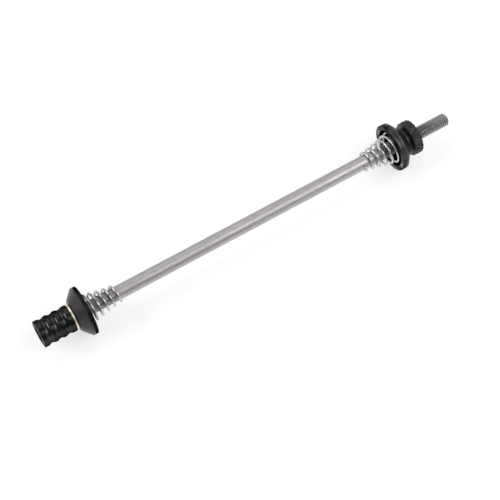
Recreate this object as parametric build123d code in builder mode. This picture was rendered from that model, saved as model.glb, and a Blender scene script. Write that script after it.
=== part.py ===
"""Front wheel skewer with a barrel head: a thin rod that runs through a hollow hub axle.

A fixed barrel at one end and a threaded nut at the other draw two toothed faces together.
The rod lies along +X from the barrel to its threaded tip, with +Z up. The origin is on the
rod's axis, half way along the whole skewer. All lengths are in millimetres.
"""

import os
from math import cos, pi, sin, sqrt, tau

from build123d import *

# Rod
overall_length = 165.0
rod_diameter = 5.0
rod_grip = 6.4
thread_diameter = 4.9
thread_length = 28.0
thread_runout = 0.4
tip_chamfer = 0.6

# Barrel head, with ring grooves and a key socket in its free end
barrel_diameter = 9.7
barrel_length = 12.15
groove_count = 3
groove_from_free_end = 2.75
groove_from_seat_end = 2.8
groove_width = 2.2
groove_depth = 0.4
groove_flank = 35.0
socket_width = 5.0
socket_depth = 4.6
socket_lead_in = 0.3

# Thrust washer
washer_diameter = 9.6
washer_thickness = 0.7

# Toothed bite rings, the same on the cap and on the nut
ring_diameter = 17.7
ring_thickness = 1.2
ring_bore = 13.0
spigot_diameter = 14.8
spigot_length = 0.9
tooth_count = 40
tooth_depth = 0.3
tooth_land_inside = 0.5
tooth_land_outside = 0.3

# Clamp cap
cap_boss_diameter = 8.6
cap_boss_length = 0.4
cap_nose_diameter = 11.3
cap_cone_length = 2.9
cap_rim_land = 0.55

# Adjusting nut
clamp_span = 122.8
nut_rim_land = 1.0
nut_cone_length = 3.15
neck_diameter = 10.2
neck_length = 0.5
neck_groove_diameter = 8.6
neck_groove_width = 1.15
collar_diameter = 12.7
collar_width = 3.3
knurl_pitch = 1.8
knurl_angle = 30.0
knurl_depth = 0.3
knurl_overcut = 0.25

# Flared springs, the same on both sides
wire_diameter = 0.9
spring_turns = 6.0
spring_length = 14.7
coil_flattening = 1.15
coil_flare = 1.3
cap_spring_start = 247.0
nut_spring_start = 135.0
wire_sides = 8
sections_per_turn = 14

# Fits and small edge breaks
running_clearance = 0.05
bond_gap = 0.02
face_play = 0.03
spring_rod_gap = 0.1
spring_pocket_gap = 0.2
edge_break = 0.2

# Radii and stations along the rod, worked out from the sizes above
rod_radius = rod_diameter / 2
thread_radius = thread_diameter / 2
ring_radius = ring_diameter / 2
slide_bore_radius = rod_radius + running_clearance
spigot_pocket_radius = spigot_diameter / 2 + bond_gap
spigot_pocket_depth = spigot_length + face_play

barrel_end = -overall_length / 2
barrel_seat = barrel_end + barrel_length
rod_start = barrel_seat - rod_grip
rod_tip = overall_length / 2
thread_start = rod_tip - thread_length

washer_start = barrel_seat + face_play
cap_start = washer_start + washer_thickness + face_play
cap_cone_start = cap_start + cap_boss_length
cap_rim_start = cap_cone_start + cap_cone_length
cap_seam = cap_rim_start + cap_rim_land
cap_face = cap_seam + ring_thickness
cap_pocket_floor = cap_seam - spigot_pocket_depth

nut_face = cap_face + clamp_span
nut_seam = nut_face + ring_thickness
nut_pocket_floor = nut_seam + spigot_pocket_depth
nut_rim_end = nut_seam + nut_rim_land
nut_cone_end = nut_rim_end + nut_cone_length
neck_end = nut_cone_end + neck_length
collar_start = neck_end + neck_groove_width
collar_end = collar_start + collar_width

os.makedirs("parts", exist_ok=True)


# Rod: plain shank, thread blank with a run-out cone, chamfered tip
with BuildPart() as skewer_rod:
    with BuildSketch(Plane.XZ):
        with BuildLine():
            Polyline(
                (rod_start, 0),
                (rod_start, rod_radius),
                (thread_start - thread_runout, rod_radius),
                (thread_start, thread_radius),
                (rod_tip - tip_chamfer, thread_radius),
                (rod_tip, thread_radius - tip_chamfer),
                (rod_tip, 0),
                close=True,
            )
        make_face()
    revolve(axis=Axis.X)

skewer_rod.part.label = "skewer_rod"
export_step(skewer_rod.part, "parts/skewer_rod.step")


# Barrel: turned with sloping-sided ring grooves, bored for the rod, with a hexagon key socket
barrel_radius = barrel_diameter / 2
groove_pitch = (barrel_length - groove_from_free_end - groove_from_seat_end) / (groove_count - 1)
first_groove = barrel_end + groove_from_free_end
groove_centres = [(first_groove + i * groove_pitch, barrel_radius) for i in range(groove_count)]

with BuildPart() as barrel:
    with BuildSketch(Plane.XZ) as barrel_profile:
        with BuildLine():
            Polyline(
                (barrel_end, 0),
                (barrel_end, barrel_radius),
                (barrel_seat, barrel_radius),
                (barrel_seat, 0),
                close=True,
            )
        make_face()
        chamfer(barrel_profile.vertices().group_by(Axis.Y)[-1], edge_break)
        with Locations(*groove_centres):
            Trapezoid(
                groove_width,
                groove_depth,
                groove_flank,
                rotation=180,
                align=(Align.CENTER, Align.MIN),
                mode=Mode.SUBTRACT,
            )
    revolve(axis=Axis.X)
    with BuildSketch(Plane.YZ.offset(barrel_seat)):
        Circle(rod_radius + bond_gap)
    extrude(amount=-(rod_grip + face_play), mode=Mode.SUBTRACT)
    with BuildSketch(Plane.YZ.offset(barrel_end)):
        RegularPolygon(socket_width / 2, 6, major_radius=False)
    extrude(amount=socket_depth, mode=Mode.SUBTRACT)
    with BuildSketch(Plane.YZ.offset(barrel_end)):
        Circle(socket_width / sqrt(3) + socket_lead_in / 2)
    extrude(amount=socket_lead_in, taper=45, mode=Mode.SUBTRACT)

barrel.part.label = "barrel"
export_step(barrel.part, "parts/barrel.step")


# Thrust washer: a flat brass ring that the barrel turns on
with BuildPart() as thrust_washer:
    with BuildSketch(Plane.YZ.offset(washer_start)):
        Circle(washer_diameter / 2)
        Circle(slide_bore_radius, mode=Mode.SUBTRACT)
    extrude(amount=washer_thickness)

thrust_washer.part.label = "thrust_washer"
export_step(thrust_washer.part, "parts/thrust_washer.step")


# Clamp cap: a turned cone with a pocket for the ring's spigot and the spring's wide end
with BuildPart() as clamp_cap:
    with BuildSketch(Plane.XZ) as cap_profile:
        with BuildLine():
            Polyline(
                (cap_start, slide_bore_radius),
                (cap_start, cap_boss_diameter / 2),
                (cap_cone_start, cap_boss_diameter / 2),
                (cap_cone_start, cap_nose_diameter / 2),
                (cap_rim_start, ring_radius),
                (cap_seam, ring_radius),
                (cap_seam, spigot_pocket_radius),
                (cap_pocket_floor, spigot_pocket_radius),
                (cap_pocket_floor, slide_bore_radius),
                close=True,
            )
        make_face()
        rim_corner = cap_profile.vertices().sort_by_distance((cap_rim_start, ring_radius))[0]
        chamfer(rim_corner, edge_break)
    revolve(axis=Axis.X)

clamp_cap.part.label = "clamp_cap"
export_step(clamp_cap.part, "parts/clamp_cap.step")


# Bite ring: a steel ring with a locating spigot behind and radial teeth on its face
def make_bite_ring(seam, facing):
    """Return a ring that sits on the seam plane with its teeth towards facing (+1 or -1 along X)."""
    face = seam + facing * ring_thickness
    spigot_end = seam - facing * spigot_length
    tooth_start = ring_bore / 2 + tooth_land_inside
    cutter_length = ring_radius - tooth_land_outside - tooth_start
    cutter_side = tooth_depth * sqrt(2)
    with BuildPart() as ring:
        with BuildSketch(Plane.XZ):
            with BuildLine():
                Polyline(
                    (face, ring_bore / 2),
                    (face, ring_radius),
                    (seam, ring_radius),
                    (seam, spigot_diameter / 2),
                    (spigot_end, spigot_diameter / 2),
                    (spigot_end, ring_bore / 2),
                    close=True,
                )
            make_face()
        revolve(axis=Axis.X)
        with Locations(Plane.YZ.offset(face)):
            with PolarLocations(tooth_start + cutter_length / 2, tooth_count):
                Box(cutter_length, cutter_side, cutter_side, rotation=(45, 0, 0), mode=Mode.SUBTRACT)
    return ring


cap_bite_ring = make_bite_ring(cap_seam, 1)
cap_bite_ring.part.label = "cap_bite_ring"
export_step(cap_bite_ring.part, "parts/cap_bite_ring.step")

nut_bite_ring = make_bite_ring(nut_seam, -1)
nut_bite_ring.part.label = "nut_bite_ring"
export_step(nut_bite_ring.part, "parts/nut_bite_ring.step")


# Adjusting nut: flange cone, neck groove and a collar with crossed V grooves
collar_radius = collar_diameter / 2
nut_bore_radius = thread_radius + running_clearance
knurl_count = round(pi * collar_diameter / knurl_pitch)
knurl_row_gap = pi * collar_diameter / knurl_count * cos(knurl_angle * pi / 180)
knurl_cutter_reach = knurl_row_gap / 2 + knurl_overcut
knurl_cutter_length = collar_width / cos(knurl_angle * pi / 180) + neck_groove_width

with BuildPart() as knurl_cutter:
    with BuildSketch():
        Polygon(
            (-knurl_depth, 0),
            (0, -knurl_cutter_reach),
            (knurl_depth, 0),
            (0, knurl_cutter_reach),
        )
    extrude(amount=knurl_cutter_length / 2, both=True)

with BuildPart() as adjusting_nut:
    with BuildSketch(Plane.XZ) as nut_profile:
        with BuildLine():
            Polyline(
                (nut_pocket_floor, nut_bore_radius),
                (nut_pocket_floor, spigot_pocket_radius),
                (nut_seam, spigot_pocket_radius),
                (nut_seam, ring_radius),
                (nut_rim_end, ring_radius),
                (nut_cone_end, neck_diameter / 2),
                (neck_end, neck_diameter / 2),
                (neck_end, neck_groove_diameter / 2),
                (collar_start, neck_groove_diameter / 2),
                (collar_start, collar_radius),
                (collar_end, collar_radius),
                (collar_end, nut_bore_radius),
                close=True,
            )
        make_face()
        rim_corner = nut_profile.vertices().sort_by_distance((nut_rim_end, ring_radius))[0]
        chamfer(rim_corner, edge_break)
    revolve(axis=Axis.X)
    with Locations(Plane.YZ.offset((collar_start + collar_end) / 2)):
        with PolarLocations(collar_radius, knurl_count):
            for lean in (knurl_angle, -knurl_angle):
                add(knurl_cutter.part, rotation=(lean, 0, 0), mode=Mode.SUBTRACT)

adjusting_nut.part.label = "adjusting_nut"
export_step(adjusting_nut.part, "parts/adjusting_nut.step")


# Flared spring: wire wound from a narrow end on the rod to a wide end in the ring's pocket
def make_flared_spring(pocket_floor, facing, start_angle):
    """Return a right-hand spring whose wide end rests on pocket_floor and whose coils run towards facing.

    Towards the wide end the coil opens out faster and faster, by the power coil_flare, and its
    pitch closes up. The wire's narrow end is start_angle degrees round from +Y.
    """
    wire_radius = wire_diameter / 2
    narrow_radius = rod_radius + spring_rod_gap + wire_radius
    wide_radius = ring_bore / 2 - spring_pocket_gap - wire_radius
    wide_centre = pocket_floor + facing * (face_play + wire_radius)
    coil_travel = spring_length - wire_diameter
    section_count = round(spring_turns * sections_per_turn)

    def coil_point(along):
        radius = narrow_radius + (wide_radius - narrow_radius) * along**coil_flare
        to_wide_end = coil_travel * max(1 - along, 0) ** coil_flattening
        turn = start_angle * pi / 180 - facing * tau * spring_turns * along
        return Vector(wide_centre + facing * to_wide_end, radius * cos(turn), radius * sin(turn))

    with BuildPart() as spring:
        for i in range(section_count + 1):
            point = coil_point(i / section_count)
            ahead = coil_point(min(i + 1, section_count) / section_count)
            behind = coil_point(max(i - 1, 0) / section_count)
            outward = (0, point.Y, point.Z)
            with BuildSketch(Plane(origin=point, x_dir=outward, z_dir=ahead - behind)):
                RegularPolygon(wire_radius, wire_sides)
        loft(ruled=True)
    return spring


cap_spring = make_flared_spring(cap_pocket_floor, 1, cap_spring_start)
cap_spring.part.label = "cap_spring"
export_step(cap_spring.part, "parts/cap_spring.step")

nut_spring = make_flared_spring(nut_pocket_floor, -1, nut_spring_start)
nut_spring.part.label = "nut_spring"
export_step(nut_spring.part, "parts/nut_spring.step")
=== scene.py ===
"""Wheel skewer lying on a white surface: its looks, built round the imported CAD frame.

The frame is the CAD one: +X along the rod from the barrel to the threaded tip, +Z up, the rod's
axis through the origin. Lengths are in metres, and mm turns the real sizes into them.
"""

import math

import bpy
import numpy as np
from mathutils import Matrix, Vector


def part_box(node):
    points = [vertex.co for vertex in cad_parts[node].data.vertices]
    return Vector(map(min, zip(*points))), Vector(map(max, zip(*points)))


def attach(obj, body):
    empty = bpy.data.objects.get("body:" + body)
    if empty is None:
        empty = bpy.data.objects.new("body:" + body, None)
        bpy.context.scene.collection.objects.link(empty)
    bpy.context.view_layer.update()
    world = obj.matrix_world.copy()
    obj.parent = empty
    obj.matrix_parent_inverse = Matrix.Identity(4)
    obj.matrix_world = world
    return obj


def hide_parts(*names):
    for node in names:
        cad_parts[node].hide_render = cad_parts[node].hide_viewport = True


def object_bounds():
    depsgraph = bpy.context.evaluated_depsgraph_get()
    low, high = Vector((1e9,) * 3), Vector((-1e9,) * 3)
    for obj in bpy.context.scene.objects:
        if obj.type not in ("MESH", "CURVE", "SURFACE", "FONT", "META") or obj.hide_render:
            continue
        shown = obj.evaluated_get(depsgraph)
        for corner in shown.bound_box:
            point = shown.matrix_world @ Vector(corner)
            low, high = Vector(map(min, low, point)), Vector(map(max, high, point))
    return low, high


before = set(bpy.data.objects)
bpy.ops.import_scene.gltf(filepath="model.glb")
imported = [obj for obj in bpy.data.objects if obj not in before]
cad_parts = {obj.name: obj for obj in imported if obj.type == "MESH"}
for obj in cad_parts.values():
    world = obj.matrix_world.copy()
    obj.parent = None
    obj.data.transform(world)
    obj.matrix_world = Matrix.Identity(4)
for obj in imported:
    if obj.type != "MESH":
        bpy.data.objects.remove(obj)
cad_low, cad_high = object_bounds()


# Rod: one length of drawn steel, ground to a satin finish, with an M5 thread rolled on the end
# that takes the nut. Its other end is screwed and bonded into the barrel, out of sight.
mm = 0.001
full_turn = 2 * math.pi
rod_low, rod_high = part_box("skewer_rod")
rod_radius = 2.5 * mm
thread_crest = 2.45 * mm
thread_pitch = 0.8 * mm
thread_depth = 0.43 * mm
thread_length = 28.0 * mm
thread_run_out = 1.2 * mm
tip_chamfer = 0.6 * mm
thread_flat = 0.15
rows_per_pitch = 10
rod_columns = 64
sharp_edge = math.radians(35)

# Painted shade darkens the rod under the cap's spring, and from the nut's spring to just behind
# the nut, where the coils and the nut shade it. Each row is a distance along the rod in mm and
# the share of painted shade there.
cap_painted_shade = np.array([(-66.0, 0), (-64.0, 0.7), (-55.0, 0.7), (-52.0, 0)])
nut_painted_shade = np.array([(52.0, 0), (55.0, 0.9), (66.5, 0.9), (69.5, 0)])


def angles(columns):
    """Evenly spaced angles that go once round, from 0 up to but not on a full turn."""
    return np.linspace(0, full_turn, columns, endpoint=False)


def around(along, radius, angle):
    """Points at a distance along the rod, a radius from its axis and an angle round it from +Y."""
    along, radius, angle = np.broadcast_arrays(along, radius, angle)
    return np.stack([along, radius * np.cos(angle), radius * np.sin(angle)], axis=-1)


def skin(name, grid, looped=False, marks=None):
    """A mesh object over a grid of points whose rows each go once round and close on themselves.

    Four-sided faces join each row to the next. A looped grid also joins its last row to its
    first, and any other is closed by a fan round the middle of each end row. marks has a number
    for each point, kept for the material as the attribute "marks".
    """
    rows, columns = grid.shape[:2]
    points = grid.reshape(-1, 3)
    here = np.arange(rows * columns).reshape(rows, columns)
    beside = np.roll(here, -1, axis=1)
    above, above_beside = np.roll(here, -1, axis=0), np.roll(beside, -1, axis=0)
    quads = np.stack([here, beside, above_beside, above], axis=-1)
    faces = quads[: rows if looped else rows - 1].reshape(-1, 4).tolist()
    if not looped:
        points = np.vstack([points, grid[0].mean(axis=0), grid[-1].mean(axis=0)])
        middle = np.full(columns, rows * columns)
        faces += np.stack([middle, beside[0], here[0]], axis=-1).tolist()
        faces += np.stack([middle + 1, here[-1], beside[-1]], axis=-1).tolist()
    mesh = bpy.data.meshes.new(name)
    mesh.from_pydata(points.tolist(), [], faces)
    mesh.polygons.foreach_set("use_smooth", np.ones(len(faces), bool))
    mesh.set_sharp_from_angle(angle=sharp_edge)
    values = np.zeros(len(points))
    if marks is not None:
        values[: rows * columns] = np.broadcast_to(marks, (rows, columns)).ravel()
    mesh.attributes.new("marks", "FLOAT", "POINT").data.foreach_set("value", values)
    piece = bpy.data.objects.new(name, mesh)
    bpy.context.scene.collection.objects.link(piece)
    return piece


def stand_for(piece, node, body, material):
    """Show piece in place of a CAD node, on that node's body, with the given material."""
    piece.data.materials.append(material)
    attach(piece, body)
    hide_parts(node)


def new_material(name):
    """A material with a plain shader, its node tree and that shader."""
    material = bpy.data.materials.new(name)
    material.use_nodes = True
    return material, material.node_tree, material.node_tree.nodes["Principled BSDF"]


def add_node(tree, kind, inputs, **settings):
    """A new shader node. inputs gives each socket, by name or number, a value or a socket to feed it."""
    made = tree.nodes.new("ShaderNode" + kind)
    for setting, value in settings.items():
        setattr(made, setting, value)
    for socket, value in inputs.items():
        if isinstance(value, bpy.types.NodeSocket):
            tree.links.new(value, made.inputs[socket])
        else:
            made.inputs[socket].default_value = value
    return made


def object_point(tree):
    """The point's own place on the object, which a pattern is laid out on."""
    return add_node(tree, "TexCoord", {}).outputs["Object"]


def noise(tree, point, scale, detail=3.0):
    """Soft noise from 0 to 1 with features about 1/scale metres across."""
    inputs = {"Vector": point, "Scale": scale, "Detail": detail}
    return add_node(tree, "TexNoise", inputs).outputs["Fac"]


def spread(tree, value, low, high, from_low=0.3, from_high=0.7):
    """A value's range from_low to from_high, stretched to run from low to high."""
    inputs = {"Value": value, "From Min": from_low, "From Max": from_high, "To Min": low, "To Max": high}
    return add_node(tree, "MapRange", inputs).outputs["Result"]


def mix_colours(tree, share, first, second):
    """The first colour where share is 0 and the second where it is 1."""
    inputs = {0: share, 6: first, 7: second}
    return add_node(tree, "Mix", inputs, data_type="RGBA").outputs[2]


def dress(tree, shader, colour, roughness, metal, height, depth):
    """Give a shader its colour, roughness and share of metal. A height of 1 raises it by depth."""
    inputs = {"Height": height, "Distance": depth, "Strength": 1.0}
    raised = add_node(tree, "Bump", inputs).outputs["Normal"]
    for socket, source in {"Base Color": colour, "Roughness": roughness, "Normal": raised}.items():
        tree.links.new(source, shader.inputs[socket])
    shader.inputs["Metallic"].default_value = metal


def satin_steel():
    """Ground steel: faint lines along the rod, uneven gloss, and painted shade in the thread roots and
    under the springs.
    """
    dull, bright = (0.44, 0.427, 0.421, 1), (0.58, 0.564, 0.557, 1)
    shade_colour = (0.08, 0.075, 0.07, 1)
    line_scale = (350, 2500, 2500)
    material, tree, shader = new_material("satin_steel")
    point = object_point(tree)
    drawn_out = add_node(tree, "Mapping", {"Vector": point, "Scale": line_scale}).outputs["Vector"]
    lines = noise(tree, drawn_out, scale=1.0, detail=4.0)
    smudges = noise(tree, point, scale=140.0)
    # Painted shade: the marks darken the steel in the thread roots and under the springs.
    shade_marks = add_node(tree, "Attribute", {}, attribute_name="marks").outputs["Fac"]
    steel = mix_colours(tree, spread(tree, lines, low=0, high=1), dull, bright)
    shade_amount = spread(tree, shade_marks, low=0, high=0.7, from_low=0.1, from_high=1)
    colour = mix_colours(tree, shade_amount, steel, shade_colour)
    roughness = spread(tree, smudges, low=0.43, high=0.53)
    dress(tree, shader, colour, roughness, metal=1, height=lines, depth=0.004 * mm)
    return material


rod_angle = angles(rod_columns)
thread_start = rod_high.x - thread_length
thread_rows = np.arange(thread_start, rod_high.x, thread_pitch / rows_per_pitch)
painted_shade_rows = np.concatenate([cap_painted_shade[:, 0], nut_painted_shade[:1, 0]]) * mm
rod_along = np.concatenate([[rod_low.x], painted_shade_rows, thread_rows, [rod_high.x]])[:, None]

# The thread is a triangle wave that moves one pitch along for each turn, with its crests and
# roots cut flat. It fades in over the run-out, and the tip's cone cuts it off.
thread_phase = (rod_along - thread_start) / thread_pitch - rod_angle / full_turn
thread_wave = np.abs(2 * (thread_phase % 1) - 1)
thread_tooth = np.clip((1 + 2 * thread_flat) * thread_wave - thread_flat, 0, 1)
thread_share = np.clip((rod_along - thread_start) / thread_run_out, 0, 1)
thread_cut = thread_share * (1 - thread_tooth)
rod_blank = rod_radius - (rod_radius - thread_crest) * thread_share
tip_cone = thread_crest - tip_chamfer + rod_high.x - rod_along
rod_surface = np.minimum(rod_blank - thread_depth * thread_cut, tip_cone)
# Painted shade: the rod is darkened under the springs and near the nut, where they shade it.
painted_shade_place, painted_shade_share = np.concatenate([cap_painted_shade, nut_painted_shade]).T
rod_painted_shade = np.interp(rod_along, painted_shade_place * mm, painted_shade_share)
rod_grid = around(rod_along, rod_surface, rod_angle)
# The marks are painted shade: the thread roots and the shaded stretches under the springs.
ground_rod = skin("ground_rod", rod_grid, marks=np.maximum(thread_cut, rod_painted_shade))
stand_for(ground_rod, "skewer_rod", "rod", satin_steel())


# Barrel: the fixed head, turned from aluminium bar and anodised glossy black, with three ring
# grooves for grip. It is screwed and bonded on the rod, and a hexagon key fits its free end.
barrel_low, barrel_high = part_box("barrel")
barrel_radius = 4.85 * mm
barrel_bore = 2.52 * mm
bore_depth = 6.43 * mm
groove_centres = barrel_low.x + np.array([2.75, 6.05, 9.35]) * mm
groove_width = 2.2 * mm
groove_floor = 1.06 * mm
groove_depth = 0.4 * mm
groove_rounding = 0.3 * mm
floor_rounding = 1.6 * mm
end_rounding = 0.25 * mm
socket_width = 5.0 * mm
socket_depth = 4.6 * mm
socket_mouth = 3.04 * mm
socket_lead_in = 0.3 * mm
arc_points = 7
close_by = 0.01 * mm
barrel_columns = 120


def rounded(corners, looped=True):
    """An outline through corners (along, radius, rounding), with an arc in place of each corner.

    Each arc touches both of its sides, and a point follows close by on each side. An outline that
    isn't looped keeps its two end corners sharp. With it comes a number for each point, 1 on the
    arcs of outer edges, which wear first, and 0 elsewhere.
    """
    corners = np.array(corners, float)
    here, rounding = corners[:, :2], corners[:, 2:]
    back, on = np.roll(here, 1, axis=0) - here, np.roll(here, -1, axis=0) - here
    back /= np.linalg.norm(back, axis=1, keepdims=True)
    on /= np.linalg.norm(on, axis=1, keepdims=True)
    half = np.arccos(np.clip((back * on).sum(axis=1, keepdims=True), -1, 1)) / 2
    inward, across = (back + on) / (2 * np.cos(half)), (on - back) / (2 * np.sin(half))
    sweep = (np.linspace(-1, 1, arc_points) * (math.pi / 2 - half))[:, :, None]
    centre = here + inward * rounding / np.sin(half)
    spokes = inward[:, None] * np.cos(sweep) - across[:, None] * np.sin(sweep)
    arc = centre[:, None] - rounding[:, None] * spokes
    reach = rounding / np.tan(half) + close_by
    before, after = (here + back * reach)[:, None], (here + on * reach)[:, None]
    outline = np.concatenate([before, arc, after], axis=1)
    outer = (on[:, 0] * back[:, 1] - on[:, 1] * back[:, 0] > 0)[:, None]
    wear = outer * np.array([0] + [1] * arc_points + [0])
    if looped:
        return outline.reshape(-1, 2), wear.reshape(-1, 1)
    ends = here[:1], outline[1:-1].reshape(-1, 2), here[-1:]
    return np.concatenate(ends), np.concatenate([[[0]], wear[1:-1].reshape(-1, 1), [[0]]])


def turned_marks(tree, point):
    """Fine rings left by a turning tool, which follow the distance along the rod plus the radius."""
    along = add_node(tree, "SeparateXYZ", {"Vector": point}).outputs["X"]
    inputs = {0: point, 1: (0, 1, 1)}
    sideways = add_node(tree, "VectorMath", inputs, operation="MULTIPLY").outputs["Vector"]
    radius = add_node(tree, "VectorMath", {0: sideways}, operation="LENGTH").outputs["Value"]
    path = add_node(tree, "Math", {0: along, 1: radius}, operation="ADD").outputs["Value"]
    inputs = {"W": path, "Scale": 9000.0, "Detail": 2.0}
    return add_node(tree, "TexNoise", inputs, noise_dimensions="1D").outputs["Fac"]


def black_finish(name, dark, light, worn_and_sheen, smooth, rough, metal):
    """Blackened metal: uneven tone and roughness, tool rings, edges worn paler, and a painted highlight
    on the nut's rims.

    metal is 1 where the metal itself shines through the black and 0 where a coat hides it.
    """
    material, tree, shader = new_material(name)
    point = object_point(tree)
    rings = turned_marks(tree, point)
    patches = noise(tree, point, scale=220.0, detail=4.0)
    grain = noise(tree, point, scale=9000.0, detail=2.0)
    edges = add_node(tree, "Attribute", {}, attribute_name="marks").outputs["Fac"]
    unevenness = spread(tree, patches, low=0, high=1)
    # The pale share is wear on edges and crests, and a painted highlight on the nut's rim bands.
    wear_and_sheen = add_node(tree, "Math", {0: edges, 1: unevenness}, operation="MULTIPLY").outputs["Value"]
    coat = mix_colours(tree, unevenness, dark, light)
    colour = mix_colours(tree, wear_and_sheen, coat, worn_and_sheen)
    roughness = spread(tree, patches, smooth, rough)
    height = add_node(tree, "Math", {0: rings, 1: grain}, operation="ADD").outputs["Value"]
    dress(tree, shader, colour, roughness, metal, height, depth=0.001 * mm)
    shader.inputs["Specular IOR Level"].default_value = 0.4
    shader.inputs["Specular Tint"].default_value = (0.3, 0.3, 0.3, 1) if metal else (1, 1, 1, 1)
    return material


glossy_black = black_finish(
    "glossy_black",
    dark=(0.028, 0.029, 0.028, 1), light=(0.042, 0.043, 0.042, 1), worn_and_sheen=(0.07, 0.07, 0.07, 1),
    smooth=0.2, rough=0.26, metal=1,
)

barrel_corners = [(barrel_low.x, socket_mouth, 0), (barrel_low.x, barrel_radius, end_rounding)]
for centre in groove_centres:
    barrel_corners += [
        (centre - groove_width / 2, barrel_radius, groove_rounding),
        (centre - groove_floor / 2, barrel_radius - groove_depth, floor_rounding),
        (centre + groove_floor / 2, barrel_radius - groove_depth, floor_rounding),
        (centre + groove_width / 2, barrel_radius, groove_rounding),
    ]
barrel_corners += [(barrel_high.x, barrel_radius, end_rounding), (barrel_high.x, barrel_bore, 0)]
barrel_outline, barrel_wear = rounded(barrel_corners, looped=False)

# The socket's wall is a hexagon: its radius is half its width over the cosine of the angle from
# the middle of the nearest flat. The outline goes from its floor round the outside to the bore.
barrel_angle = angles(barrel_columns)
hexagon = socket_width / 2 / np.cos(barrel_angle % (full_turn / 6) - full_turn / 12)
socket_rows = np.array([[socket_depth], [socket_lead_in]]) + barrel_low.x
barrel_grid = np.concatenate([
    around(socket_rows, hexagon, barrel_angle),
    around(barrel_outline[:, :1], barrel_outline[:, 1:], barrel_angle),
    around(barrel_high.x - bore_depth, barrel_bore, barrel_angle)[None],
])
barrel_marks = np.concatenate([np.zeros((2, 1)), barrel_wear, np.zeros((1, 1))])
turned_barrel = skin("turned_barrel", barrel_grid, marks=barrel_marks)
stand_for(turned_barrel, "barrel", "rod", glossy_black)


# Thrust washer: a thin ring of turned brass, loose on the rod between the barrel and the cap.
# It lets the barrel turn on the cap while the skewer is tightened.
washer_low, washer_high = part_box("thrust_washer")
washer_radius = 4.8 * mm
slide_bore = 2.55 * mm
washer_rounding = 0.1 * mm
washer_columns = 96


def bright_brass():
    """Turned brass: tool rings in the gloss and slightly darker, browner patches of tarnish."""
    clean, tarnished = (0.97, 0.9, 0.74, 1), (0.88, 0.77, 0.58, 1)
    material, tree, shader = new_material("bright_brass")
    point = object_point(tree)
    rings = turned_marks(tree, point)
    tarnish = noise(tree, point, scale=500.0, detail=4.0)
    colour = mix_colours(tree, spread(tree, tarnish, low=0, high=1), clean, tarnished)
    roughness = spread(tree, rings, low=0.36, high=0.48)
    dress(tree, shader, colour, roughness, metal=1, height=rings, depth=0.003 * mm)
    return material


washer_outline = rounded([
    (washer_low.x, slide_bore, washer_rounding),
    (washer_low.x, washer_radius, washer_rounding),
    (washer_high.x, washer_radius, washer_rounding),
    (washer_high.x, slide_bore, washer_rounding),
])[0]
washer_grid = around(washer_outline[:, :1], washer_outline[:, 1:], angles(washer_columns))
brass_washer = skin("brass_washer", washer_grid, looped=True)
stand_for(brass_washer, "thrust_washer", "cap_slider", bright_brass())


# Clamp cap: a turned aluminium cone, anodised satin black, free to slide and turn on the rod.
# A small boss bears on the washer, and a pocket in its face takes the toothed ring and the spring.
cap_low, cap_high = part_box("clamp_cap")
ring_radius = 8.85 * mm
cap_boss_radius = 4.3 * mm
cap_boss_length = 0.4 * mm
cap_nose_radius = 5.65 * mm
cap_rim_land = 0.55 * mm
pocket_radius = 7.42 * mm
pocket_depth = 0.93 * mm
small_rounding = 0.06 * mm
edge_rounding = 0.18 * mm
cap_columns = 128

satin_black = black_finish(
    "satin_black",
    dark=(0.012, 0.0112, 0.0125, 1), light=(0.02, 0.0188, 0.021, 1), worn_and_sheen=(0.07, 0.068, 0.072, 1),
    smooth=0.3, rough=0.38, metal=0,
)
cap_outline, cap_wear = rounded([
    (cap_low.x, slide_bore, small_rounding),
    (cap_low.x, cap_boss_radius, small_rounding),
    (cap_low.x + cap_boss_length, cap_boss_radius, small_rounding),
    (cap_low.x + cap_boss_length, cap_nose_radius, edge_rounding),
    (cap_high.x - cap_rim_land, ring_radius, edge_rounding),
    (cap_high.x, ring_radius, small_rounding),
    (cap_high.x, pocket_radius, small_rounding),
    (cap_high.x - pocket_depth, pocket_radius, small_rounding),
    (cap_high.x - pocket_depth, slide_bore, small_rounding),
])
cap_grid = around(cap_outline[:, :1], cap_outline[:, 1:], angles(cap_columns))
cone_cap = skin("cone_cap", cap_grid, looped=True, marks=cap_wear)
stand_for(cone_cap, "clamp_cap", "cap", satin_black)


# Bite rings: two hard steel rings, blacked, pressed into the cap and the nut by a short spigot.
# Radial V grooves pressed in each face leave the teeth that grip the fork ends, inside a plain rim.
ring_bore = 6.5 * mm
ring_thickness = 1.2 * mm
spigot_radius = 7.4 * mm
spigot_length = 0.9 * mm
tooth_count = 40
tooth_depth = 0.3 * mm
tooth_start = 7.0 * mm
tooth_end = 8.55 * mm
tooth_run_out = 0.1 * mm
ring_break = 0.1 * mm
seam_break = 0.15 * mm
cap_rim_wear = 0.08
# The nut ring's paler rim is a painted highlight; the cap ring's faint one is wear.
nut_rim_sheen = 0.4

black_steel = black_finish(
    "black_steel",
    dark=(0.008, 0.0079, 0.0078, 1), light=(0.014, 0.0139, 0.0137, 1), worn_and_sheen=(0.27, 0.268, 0.265, 1),
    smooth=0.32, rough=0.42, metal=1,
)


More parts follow.
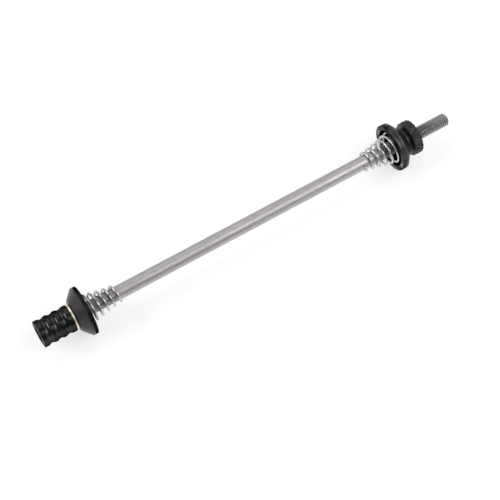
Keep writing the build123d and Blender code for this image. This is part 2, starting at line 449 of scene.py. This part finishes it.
def toothed_ring(name, seam, facing, rim_wear_and_sheen):
    """A ring whose teeth point towards facing, +1 or -1 along X, from the seam it sits on.

    The rows go over the rim, in across the face, back through the bore and round the spigot, each
    with its height, its radius, 1 where it is grooved, and how pale it is, which on the rim is the
    given rim value: wear on the cap and a painted highlight on the nut. A V groove at right angles
    is as deep as tooth_depth less the distance from its middle, which is the radius times the angle,
    so the columns sit at each groove's two edges, at its middle and on the crest beside it.
    """
    rows = np.array([
        (0, ring_radius - seam_break, 0, rim_wear_and_sheen),
        (seam_break, ring_radius, 0, rim_wear_and_sheen),
        (ring_thickness - ring_break, ring_radius, 0, rim_wear_and_sheen),
        (ring_thickness, ring_radius - ring_break, 0, rim_wear_and_sheen),
        (ring_thickness, tooth_end, 0, 0),
        (ring_thickness, tooth_end - tooth_run_out, 1, 1),
        (ring_thickness, tooth_start + tooth_run_out, 1, 1),
        (ring_thickness, tooth_start, 0, 0),
        (ring_thickness, ring_bore, 0, 0),
        (-spigot_length, ring_bore, 0, 0),
        (-spigot_length, spigot_radius, 0, 0),
        (0, spigot_radius, 0, 0),
    ])
    height, radius, grooved, wear_and_sheen = rows.T[:, :, None]
    pitch = full_turn / tooth_count
    groove_half = tooth_depth / radius[:, :, None]
    within = groove_half * np.array([-1, 0, 1, 0]) + pitch / 2 * np.array([0, 0, 0, 1])
    angle = (np.arange(tooth_count)[:, None] * pitch + within).reshape(len(rows), -1)
    cut = grooved * np.tile([0, tooth_depth, 0, 0], tooth_count)
    grid = around(seam + facing * (height - cut), radius, angle)
    crest = wear_and_sheen * (cut == 0)
    return skin(name, grid[::facing], looped=True, marks=crest[::facing])


nut_low, nut_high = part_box("adjusting_nut")
cap_seam, nut_seam = cap_high.x, nut_low.x
cap_teeth = toothed_ring("cap_teeth", cap_seam, 1, cap_rim_wear)
stand_for(cap_teeth, "cap_bite_ring", "cap", black_steel)
nut_teeth = toothed_ring("nut_teeth", nut_seam, -1, nut_rim_sheen)
stand_for(nut_teeth, "nut_bite_ring", "nut", black_steel)


# Flared springs: bright drawn wire wound from a narrow end on the rod to a wide end in each
# pocket. They are right-hand coils, and they centre the cap and the nut while the wheel goes in.
wire_radius = 0.45 * mm
spring_turns = 6.0
narrow_radius = 3.05 * mm
wide_radius = 5.85 * mm
coil_travel = 13.8 * mm
coil_flattening = 1.15
coil_flare = 1.3
floor_gap = 0.03 * mm
wire_end_break = 0.12 * mm
sections_per_turn = 44
wire_columns = 16
cap_coil_start = math.radians(247)
nut_coil_start = math.radians(135)


def bright_wire():
    """Drawn wire: a fine grain and faint dull spots on a bright surface."""
    dull, bright = (0.55, 0.542, 0.535, 1), (0.67, 0.66, 0.65, 1)
    material, tree, shader = new_material("bright_wire")
    point = object_point(tree)
    spots = noise(tree, point, scale=900.0, detail=4.0)
    grain = noise(tree, point, scale=6000.0, detail=2.0)
    colour = mix_colours(tree, spread(tree, spots, low=0, high=1), dull, bright)
    roughness = spread(tree, spots, low=0.2, high=0.3)
    dress(tree, shader, colour, roughness, metal=1, height=grain, depth=0.001 * mm)
    return material


def flared_wire(name, pocket_floor, facing, start_angle):
    """A round wire along a flared coil that runs towards facing from the floor of a pocket.

    From the narrow end at 0 to the wide end at 1, the radius grows and the distance to the wide
    end falls, each with its own power a little above 1, and the angle turns evenly. The wire's
    section lies across the path, between the path's own direction and the way out from the rod.
    """
    part = np.linspace(0, 1, round(spring_turns * sections_per_turn))[:, None]
    radius = narrow_radius + (wide_radius - narrow_radius) * part ** coil_flare
    from_floor = floor_gap + wire_radius + coil_travel * (1 - part) ** coil_flattening
    along = pocket_floor + facing * from_floor
    angle = start_angle - facing * full_turn * spring_turns * part
    path = around(along, radius, angle)
    forward = np.gradient(path[:, 0], axis=0)[:, None]
    forward /= np.linalg.norm(forward, axis=-1, keepdims=True)
    outward = around(np.zeros_like(angle), np.ones_like(angle), angle)
    aside = np.cross(forward, outward)
    aside /= np.linalg.norm(aside, axis=-1, keepdims=True)
    outward = np.cross(aside, forward)
    turn = angles(wire_columns)[None, :, None]
    thickness = np.full((len(part), 1, 1), wire_radius)
    thickness[[0, -1]] -= wire_end_break
    grid = path + thickness * (outward * np.cos(turn) + aside * np.sin(turn))
    return skin(name, grid[:, ::-1])


wire_finish = bright_wire()
cap_coil = flared_wire("cap_coil", cap_seam - pocket_depth, 1, cap_coil_start)
stand_for(cap_coil, "cap_spring", "cap_slider", wire_finish)
nut_coil = flared_wire("nut_coil", nut_seam + pocket_depth, -1, nut_coil_start)
stand_for(nut_coil, "nut_spring", "nut_slider", wire_finish)


# Adjusting nut: turned and anodised like the cap, with a cone behind its ring, a neck groove and
# a collar knurled for the fingers. It screws along the thread and carries the other spring.
nut_bore = 2.5 * mm
nut_rim_land = 1.0 * mm
nut_cone_length = 3.15 * mm
neck_radius = 5.1 * mm
neck_length = 0.5 * mm
neck_groove_radius = 4.3 * mm
collar_radius = 6.35 * mm
collar_width = 3.3 * mm
collar_break = 0.12 * mm
knurl_count = 22
knurl_lean = math.radians(30)
knurl_depth = 0.3 * mm
knurl_reach = 0.6 * mm
columns_per_knurl = 16
collar_rows = 25
collar_wear = 0.4

rim_end = nut_low.x + nut_rim_land
cone_end = rim_end + nut_cone_length
collar_start = nut_high.x - collar_width
nut_outline, nut_wear_and_sheen = rounded([
    (nut_high.x, nut_bore, 0),
    (nut_low.x + pocket_depth, nut_bore, small_rounding),
    (nut_low.x + pocket_depth, pocket_radius, small_rounding),
    (nut_low.x, pocket_radius, small_rounding),
    (nut_low.x, ring_radius, edge_rounding),
    (rim_end, ring_radius, edge_rounding),
    (cone_end, neck_radius, small_rounding),
    (cone_end + neck_length, neck_radius, small_rounding),
    (cone_end + neck_length, neck_groove_radius, small_rounding),
    (collar_start, neck_groove_radius, 0),
], looped=False)
nut_angle = angles(knurl_count * columns_per_knurl)

# The land between the rim's two rounded edges is as pale as they are: a painted highlight on the nut's
# rim band.
on_rim = nut_outline[:, 1:] > ring_radius - close_by
nut_wear_and_sheen = np.maximum(nut_wear_and_sheen, on_rim)

# The knurl is two sets of V grooves that lean opposite ways and leave flat-topped diamonds. Each
# point is cut by a depth that falls evenly to 0 with the distance from the nearest groove's middle,
# and the collar's two end rows are drawn in by collar_break.
collar_along = np.linspace(collar_start, nut_high.x, collar_rows)[:, None]
from_middle = collar_along - (collar_start + nut_high.x) / 2
knurl_pitch = full_turn * collar_radius / knurl_count
lead = from_middle * math.tan(knurl_lean) / knurl_pitch
turns = nut_angle * knurl_count / full_turn
right_hand, left_hand = [np.abs((turns + side * lead + 0.5) % 1 - 0.5) for side in (1, -1)]
groove_gap = np.minimum(right_hand, left_hand) * knurl_pitch * math.cos(knurl_lean)
knurl_cut = knurl_depth * np.clip(1 - groove_gap / knurl_reach, 0, 1)
collar_edge = np.abs(np.abs(from_middle) - collar_width / 2) < collar_break / 2
collar_surface = collar_radius - knurl_cut - collar_break * collar_edge
nut_grid = np.concatenate([
    around(nut_outline[:, :1], nut_outline[:, 1:], nut_angle),
    around(collar_along, collar_surface, nut_angle),
])
smooth_wear_and_sheen = np.broadcast_to(nut_wear_and_sheen, (len(nut_wear_and_sheen), len(nut_angle)))
crest_wear = collar_wear * (1 - knurl_cut / knurl_depth)
nut_marks = np.concatenate([smooth_wear_and_sheen, crest_wear])
knurled_nut = skin("knurled_nut", nut_grid, looped=True, marks=nut_marks)
stand_for(knurled_nut, "adjusting_nut", "nut", satin_black)


# Surroundings: a white table with a soft shadow, four soft lamps and a dim grey room. The
# camera looks down on the skewer from the barrel's end, so that the rod rises to the right.
def white_table():
    """White to the eye and in reflections, with part of the shadow, and matt white to the light."""
    material, tree, shader = new_material("white_table")
    tree.nodes.remove(shader)
    rays = add_node(tree, "LightPath", {}).outputs
    seen = rays["Is Camera Ray"]
    for ray in ("Is Glossy Ray", "Is Transmission Ray"):
        seen = add_node(tree, "Math", {0: seen, 1: rays[ray]}, operation="MAXIMUM").outputs["Value"]
    fibres = spread(tree, noise(tree, object_point(tree), scale=60.0), low=0, high=1)
    paper = mix_colours(tree, fibres, (0.8, 0.8, 0.8, 1), (0.84, 0.84, 0.84, 1))
    matt = add_node(tree, "BsdfDiffuse", {"Color": paper}).outputs["BSDF"]
    shadowed = add_node(tree, "BsdfDiffuse", {"Color": (0.45, 0.45, 0.45, 1)}).outputs["BSDF"]
    inputs = {"Color": (0.67, 0.67, 0.67, 1), "Strength": 1.0}
    glow = add_node(tree, "Emission", inputs).outputs["Emission"]
    white = add_node(tree, "AddShader", {0: shadowed, 1: glow}).outputs["Shader"]
    both = add_node(tree, "MixShader", {0: seen, 1: matt, 2: white}).outputs["Shader"]
    tree.links.new(both, tree.nodes["Material Output"].inputs["Surface"])
    return material


table_reach = 3.0
table_sides = ((-1, -1), (1, -1), (1, 1), (-1, 1))
table_corners = [(x * table_reach, y * table_reach, cad_low.z) for x, y in table_sides]
table_mesh = bpy.data.meshes.new("table")
table_mesh.from_pydata(table_corners, [], [(0, 1, 2, 3)])
table_mesh.materials.append(white_table())
table = bpy.data.objects.new("table", table_mesh)
bpy.context.scene.collection.objects.link(table)

world = bpy.data.worlds.new("room")
world.use_nodes = True
world.node_tree.nodes["Background"].inputs["Color"].default_value = (0.22, 0.22, 0.22, 1)
world.node_tree.nodes["Background"].inputs["Strength"].default_value = 1.0
bpy.context.scene.world = world


def soft_lamp(name, place, size, brightness):
    """A square lamp at place that faces the middle of the skewer, brightness times as bright as white."""
    light = bpy.data.lights.new(name, "AREA")
    light.size, light.energy = size, brightness * math.pi * size ** 2
    lamp = bpy.data.objects.new(name, light)
    lamp.location = place
    lamp.rotation_mode = "QUATERNION"
    lamp.rotation_quaternion = (-Vector(place)).to_track_quat("-Z", "Y")
    bpy.context.scene.collection.objects.link(lamp)


soft_lamp("key_lamp", (0.18, -0.24, 0.51), size=0.4, brightness=1.6)
soft_lamp("far_lamp", (0.08, 0.39, 0.45), size=0.65, brightness=0.9)
soft_lamp("left_lamp", (-0.54, 0.16, 0.28), size=0.34, brightness=4.6)
soft_lamp("right_lamp", (0.38, -0.26, 0.385), size=0.34, brightness=2.2)

# The camera aims a little off the rod: by frame_shift along across_rod, which points down and right
# in the picture, at right angles to the rod there.
camera_turn = math.radians(-31.4)
camera_rise = math.radians(61.5)
camera_distance = 0.5
aim_along = -4.8 * mm
frame_shift = 8.35 * mm
across_rod = Vector((0.4707, -0.8823, 0))
towards_camera = Vector((
    math.sin(camera_turn) * math.cos(camera_rise),
    -math.cos(camera_turn) * math.cos(camera_rise),
    math.sin(camera_rise),
))
camera_data = bpy.data.cameras.new("camera")
camera_data.lens = 104.1
camera_data.sensor_width = 36.0
camera = bpy.data.objects.new("camera", camera_data)
camera.rotation_mode = "QUATERNION"
camera.rotation_quaternion = (-towards_camera).to_track_quat("-Z", "Y")
picture_down_right = camera.rotation_quaternion @ across_rod
aim = Vector((aim_along, 0, 0)) + picture_down_right * frame_shift
camera.location = aim + towards_camera * camera_distance
bpy.context.scene.collection.objects.link(camera)
bpy.context.scene.camera = camera
bpy.context.scene.view_settings.view_transform = "Standard"
